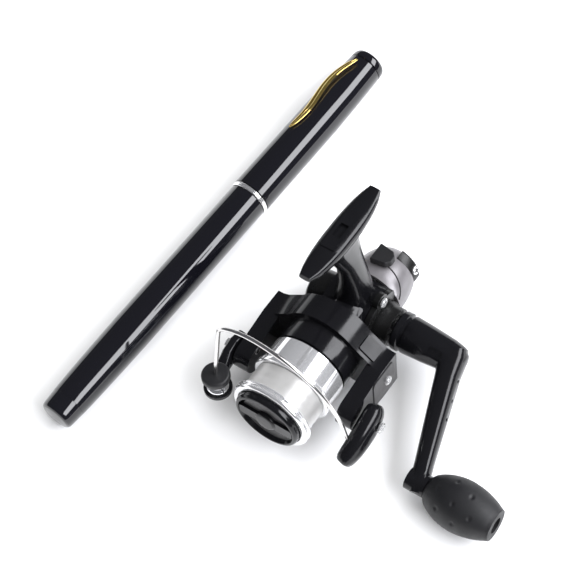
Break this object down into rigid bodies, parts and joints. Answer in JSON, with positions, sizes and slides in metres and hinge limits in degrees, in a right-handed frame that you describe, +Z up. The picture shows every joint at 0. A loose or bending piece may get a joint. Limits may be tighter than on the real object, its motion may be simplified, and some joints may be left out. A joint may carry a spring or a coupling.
{
  "type": "pen fishing rod with spinning reel",
  "caption": "Pocket pen fishing rod, closed, with a gold clip and a small open-face spinning reel lying beside it.",
  "frame": {"origin": "on the ground, under the middle of the set's box", "axes": "+Z up, +X along the rod case towards its cap, +Y from the reel towards the rod"},
  "size_m": [0.205, 0.1724, 0.0803],
  "materials": {
    "black_gloss": "gloss",
    "black_plastic": "semi-gloss",
    "brass": "satin",
    "chrome": "mirror",
    "fibreglass": "satin",
    "gold": "polished",
    "line": "satin",
    "satin_grey": "satin",
    "soft_black": "matte",
    "steel": "satin",
    "washer": "matte"
  },
  "bodies": {
    "rod_case": {"case_tube": "black_gloss", "butt_cap": "black_gloss", "ferrule_ring": "chrome", "seat_barrel": "black_plastic", "fixed_hood": "steel"},
    "cap": {"cap_tube": "black_gloss", "cap_end": "black_gloss", "cap_clip": "gold"},
    "hood": {"sliding_hood": "steel"},
    "section_1_body": {"section_1": "fibreglass", "guide_1": "steel"},
    "section_2_body": {"section_2": "fibreglass", "guide_2": "steel"},
    "section_3_body": {"section_3": "fibreglass", "guide_3": "steel"},
    "section_4_body": {"section_4": "fibreglass", "guide_4": "steel"},
    "section_5_body": {"section_5": "fibreglass", "guide_5": "steel"},
    "section_6_body": {"tip_section": "fibreglass", "tip_guide": "steel"},
    "reel_frame": {"reel_body": "black_plastic", "side_cover": "black_plastic", "rear_cover": "satin_grey", "side_cap": "black_plastic", "cover_screw_top": "steel", "cover_screw_low": "steel", "cover_screw_rear": "steel", "pinion_bearing": "steel"},
    "anti_reverse": {"anti_reverse_lever": "black_plastic"},
    "rotor_group": {"rotor": "black_gloss", "pinion": "brass", "rotor_nut": "brass", "rotor_screw": "steel"},
    "bail": {"bail_arm": "black_plastic", "bail_lever": "black_plastic", "bail_wire": "chrome", "roller_cap": "black_plastic", "lever_screw": "steel", "arm_screw": "steel"},
    "roller": {"line_roller": "chrome"},
    "shaft": {"main_shaft": "steel", "oscillation_block": "black_plastic"},
    "spool_group": {"spool": "chrome", "wound_line": "line", "drag_washer": "washer"},
    "drag": {"drag_knob": "black_plastic", "drag_spring": "steel"},
    "crank": {"crank_arm": "black_plastic", "handle_shaft": "steel", "drive_gear": "brass"},
    "knob": {"crank_knob": "soft_black"}
  },
  "joints": [
    {"name": "cap_pull", "type": "slide", "parent": "rod_case", "child": "cap", "axis": [1, 0, 0], "range_m": [0, 1]},
    {"name": "hood_slide", "type": "slide", "parent": "rod_case", "child": "hood", "axis": [1, 0, 0], "range_m": [-0.01, 0.006]},
    {"name": "section_1_slide", "type": "slide", "parent": "rod_case", "child": "section_1_body", "axis": [1, 0, 0], "range_m": [0, 0.145]},
    {"name": "section_2_slide", "type": "slide", "parent": "section_1_body", "child": "section_2_body", "axis": [1, 0, 0], "range_m": [0, 0.145]},
    {"name": "section_3_slide", "type": "slide", "parent": "section_2_body", "child": "section_3_body", "axis": [1, 0, 0], "range_m": [0, 0.145]},
    {"name": "section_4_slide", "type": "slide", "parent": "section_3_body", "child": "section_4_body", "axis": [1, 0, 0], "range_m": [0, 0.145]},
    {"name": "section_5_slide", "type": "slide", "parent": "section_4_body", "child": "section_5_body", "axis": [1, 0, 0], "range_m": [0, 0.145]},
    {"name": "section_6_slide", "type": "slide", "parent": "section_5_body", "child": "section_6_body", "axis": [1, 0, 0], "range_m": [0, 0.145]},
    {"name": "reel_lift", "type": "slide", "parent": "rod_case", "child": "reel_frame", "axis": [0, 0, 1], "range_m": [0, 0.15]},
    {"name": "crank_turn", "type": "hinge", "parent": "reel_frame", "child": "crank", "pos_m": [0.00591, 0.00996, 0.01511], "axis": [0.0744, -0.9855, 0.1523], "continuous": true},
    {"name": "rotor_turn", "type": "hinge", "parent": "reel_frame", "child": "rotor_group", "pos_m": [0.0064, 0.01091, 0.02102], "axis": [-0.9939, -0.0608, 0.0924], "continuous": true},
    {"name": "bail_flip", "type": "hinge", "parent": "rotor_group", "child": "bail", "pos_m": [-0.03567, 0.00773, 0.02096], "axis": [0.0744, -0.9855, 0.1523], "range_deg": [0, 95]},
    {"name": "roller_spin", "type": "hinge", "parent": "bail", "child": "roller", "pos_m": [-0.05566, 0.03286, 0.02265], "axis": [0.0818, 0.1583, 0.984], "continuous": true},
    {"name": "spool_stroke", "type": "slide", "parent": "reel_frame", "child": "shaft", "axis": [-0.9939, -0.0608, 0.0924], "range_m": [0, 0.006]},
    {"name": "spool_turn", "type": "hinge", "parent": "shaft", "child": "spool_group", "pos_m": [0.0064, 0.01091, 0.02102], "axis": [-0.9939, -0.0608, 0.0924], "continuous": true},
    {"name": "drag_turn", "type": "hinge", "parent": "spool_group", "child": "drag", "pos_m": [0.0064, 0.01091, 0.02102], "axis": [-0.9939, -0.0608, 0.0924], "range_deg": [-540, 540]},
    {"name": "knob_spin", "type": "hinge", "parent": "crank", "child": "knob", "pos_m": [-0.03658, -0.05133, 0.01021], "axis": [0.0744, -0.9855, 0.1523], "continuous": true},
    {"name": "anti_reverse_turn", "type": "hinge", "parent": "reel_frame", "child": "anti_reverse", "pos_m": [0.02372, 0.0109, 0.01247], "axis": [-0.9939, -0.0608, 0.0924], "range_deg": [-12, 12]}
  ],
  "couplings": [
    {"joint": "section_1_slide", "follows": "cap_pull", "ratio": 0.145},
    {"joint": "section_2_slide", "follows": "cap_pull", "ratio": 0.145},
    {"joint": "section_3_slide", "follows": "cap_pull", "ratio": 0.145},
    {"joint": "section_4_slide", "follows": "cap_pull", "ratio": 0.145},
    {"joint": "section_5_slide", "follows": "cap_pull", "ratio": 0.145},
    {"joint": "section_6_slide", "follows": "cap_pull", "ratio": 0.145},
    {"joint": "rotor_turn", "follows": "crank_turn", "ratio": 4.375}
  ]
}
